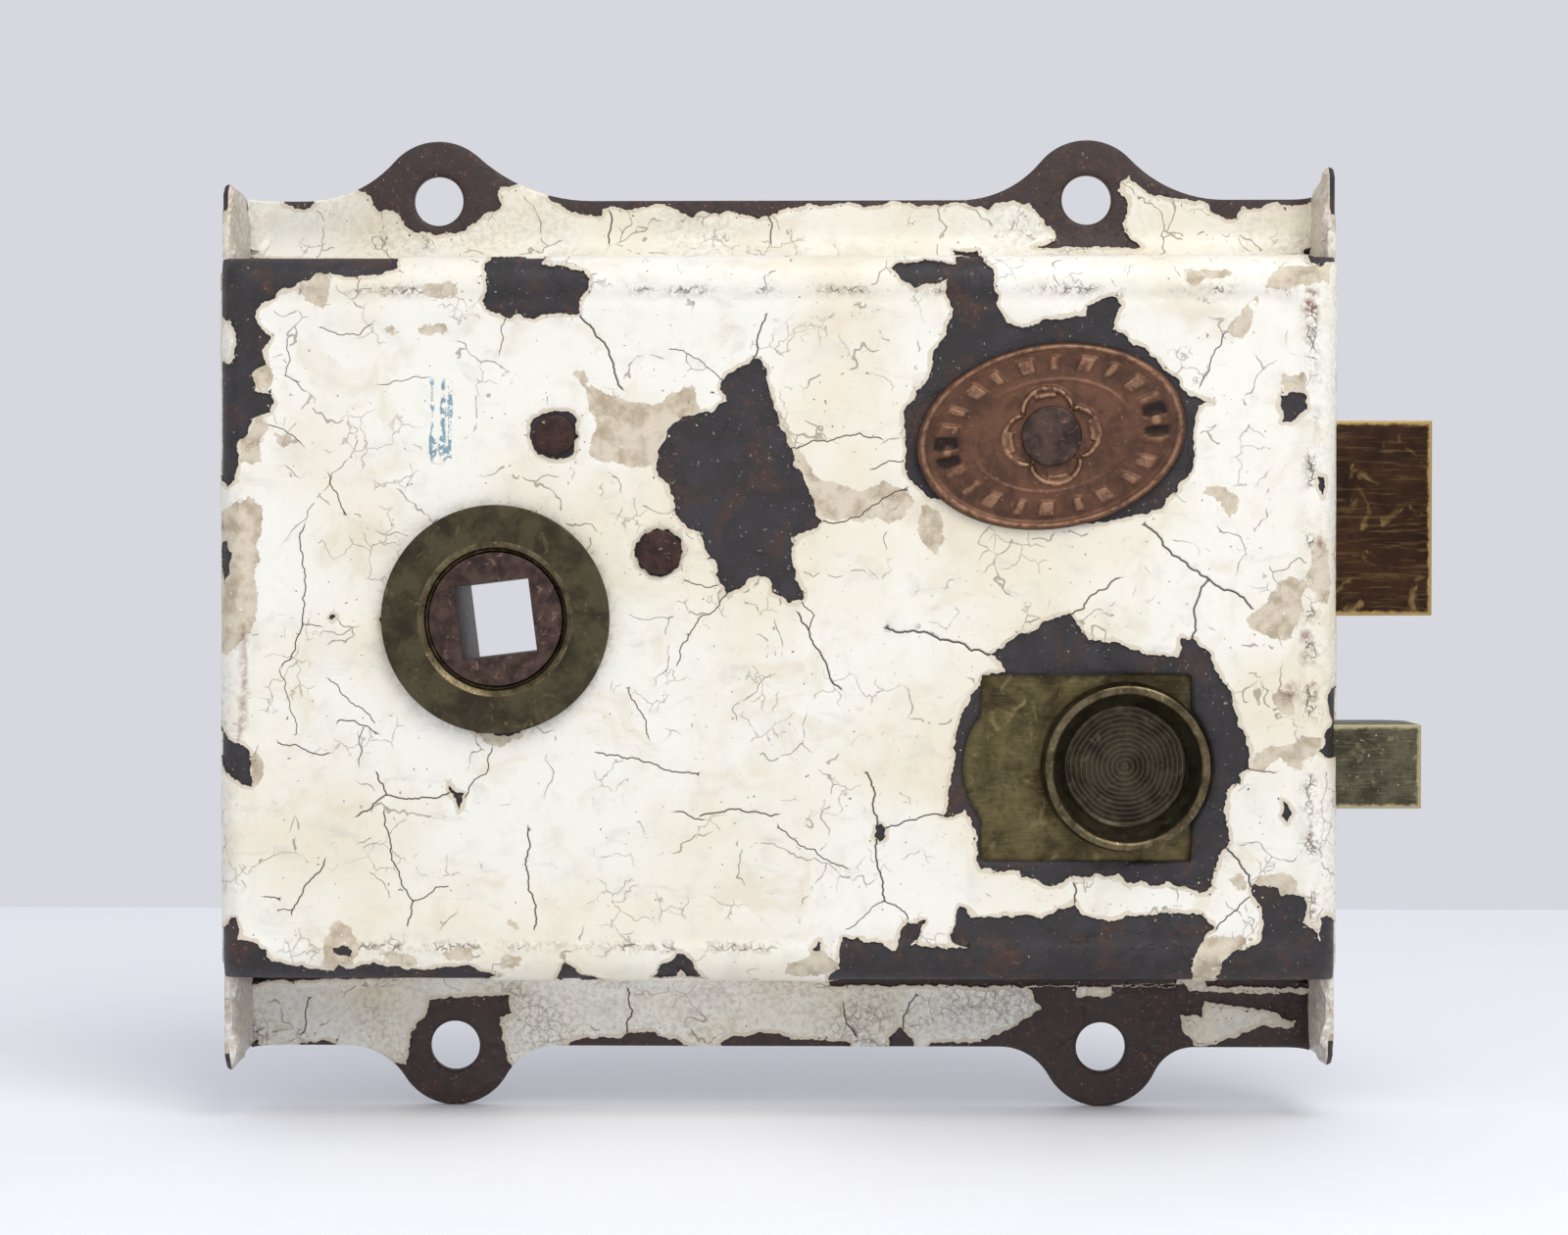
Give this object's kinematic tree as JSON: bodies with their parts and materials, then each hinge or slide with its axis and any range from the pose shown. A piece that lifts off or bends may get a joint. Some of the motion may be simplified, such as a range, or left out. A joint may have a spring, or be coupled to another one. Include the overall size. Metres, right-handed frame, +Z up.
{
  "type": "rim night latch",
  "caption": "Surface-mounted door latch in a pressed steel case with a knob-driven sprung latch bolt and a sliding night bolt worked by a finger cup.",
  "frame": {"origin": "spindle axis at the door face, the back of the case", "axes": "+X towards the bolts, +Z up as fixed to the door, +Y into the door"},
  "size_m": [0.1376, 0.0197, 0.1137],
  "materials": {
    "paint_case": "aged cream paint, chipped to black japan and beige undercoat",
    "japanned_steel": "old black japan with rust",
    "steel_screws": "dull slotted steel",
    "brass_collar": "dark patina with verdigris specks",
    "copper_badge": "brown copper patina, brighter on the rim",
    "rusty_iron": "brown rust with worn edges",
    "steel_works": "oiled bare steel",
    "spring_steel": "blued spring steel",
    "brass_bolt": "brown patina, bright worn edges",
    "brass_slide": "olive patina, bright rim"
  },
  "bodies": {
    "body": {"case": "paint_case", "end_plate": "paint_case", "forend": "paint_case", "back_cap": "japanned_steel", "cap_screws": "steel_screws", "front_collar": "brass_collar", "rear_bush": "brass_collar", "badge": "copper_badge", "badge_pillar": "copper_badge", "upper_stump": "rusty_iron", "lower_stump": "rusty_iron", "night_stump": "steel_works", "detent_stump": "steel_works", "follower_spring": "spring_steel", "latch_spring": "spring_steel", "spring_seat": "steel_works", "detent_spring": "spring_steel"},
    "follower": {"follower": "rusty_iron"},
    "latch": {"latch_bolt": "brass_bolt", "latch_tail": "steel_works", "latch_rivets": "steel_works"},
    "night": {"night_bolt": "brass_bolt", "slide_plate": "brass_slide", "finger_cup": "brass_slide", "slide_rivets": "brass_slide"}
  },
  "joints": [
    {"name": "follower_turn", "type": "hinge", "parent": "body", "child": "follower", "pos_m": [0, 0, 0], "axis": [0, -1, 0], "range_deg": [0, 50], "deforming": ["follower_spring"]},
    {"name": "latch_slide", "type": "slide", "parent": "body", "child": "latch", "axis": [-1, 0, 0], "range_m": [0, 0.01047], "stiffness_N_per_m": 300, "springref_m": -0.008, "deforming": ["latch_spring"]},
    {"name": "night_slide", "type": "slide", "parent": "body", "child": "night", "axis": [-1, 0, 0], "range_m": [0, 0.0087], "deforming": ["detent_spring"]}
  ],
  "couplings": [
    {"joint": "follower_turn", "follows": "latch_slide", "rad_per_m": 83.333}
  ]
}
